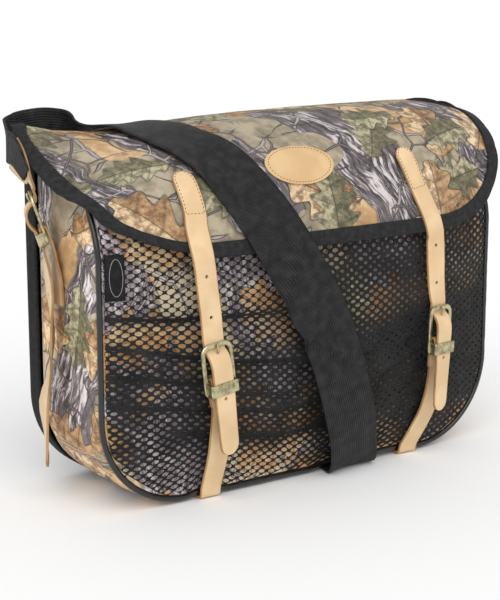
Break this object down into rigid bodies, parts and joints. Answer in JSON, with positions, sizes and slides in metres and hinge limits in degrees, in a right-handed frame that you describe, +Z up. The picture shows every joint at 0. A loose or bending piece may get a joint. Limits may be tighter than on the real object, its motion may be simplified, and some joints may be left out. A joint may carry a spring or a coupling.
{
  "type": "hunting game bag",
  "caption": "Camouflage shoulder bag with a bound flap, a full-width net front pocket, buckled leather straps and a wide webbing sling that passes over the flap and under the body.",
  "frame": {"origin": "on the floor, under the middle of the bag's box", "axes": "+X along the bag's width, to the right in a front view; the front with the net faces -Y; +Z up"},
  "size_m": [0.4548, 0.1804, 0.3148],
  "materials": {
    "camouflage": "matte printed woodland camouflage cloth",
    "black_cloth": "matte black cloth",
    "net": "black knitted net",
    "webbing": "black ribbed webbing",
    "piping": "glossy black covered cord",
    "leather": "smooth tan leather",
    "brass": "antique brushed brass"
  },
  "bodies": {
    "root": {"back_panel": "black_cloth", "flap": "camouflage", "flap_binding": "black_cloth", "front_anchor_left": "leather", "front_anchor_right": "leather", "front_buckle_left": "brass", "front_buckle_right": "brass", "front_panel": "camouflage", "front_piping": "piping", "front_prong_left": "brass", "front_prong_right": "brass", "front_strap_left": "leather", "front_strap_right": "leather", "gusset": "camouflage", "leather_patch": "leather", "net_pocket": "net", "shoulder_webbing": "webbing", "side_anchor_left": "leather", "side_anchor_right": "leather", "side_buckle_left": "brass", "side_buckle_right": "brass", "side_prong_left": "brass", "side_prong_right": "brass", "side_strap_left": "leather", "side_strap_right": "leather", "woven_label": "black_cloth"}
  },
  "joints": []
}
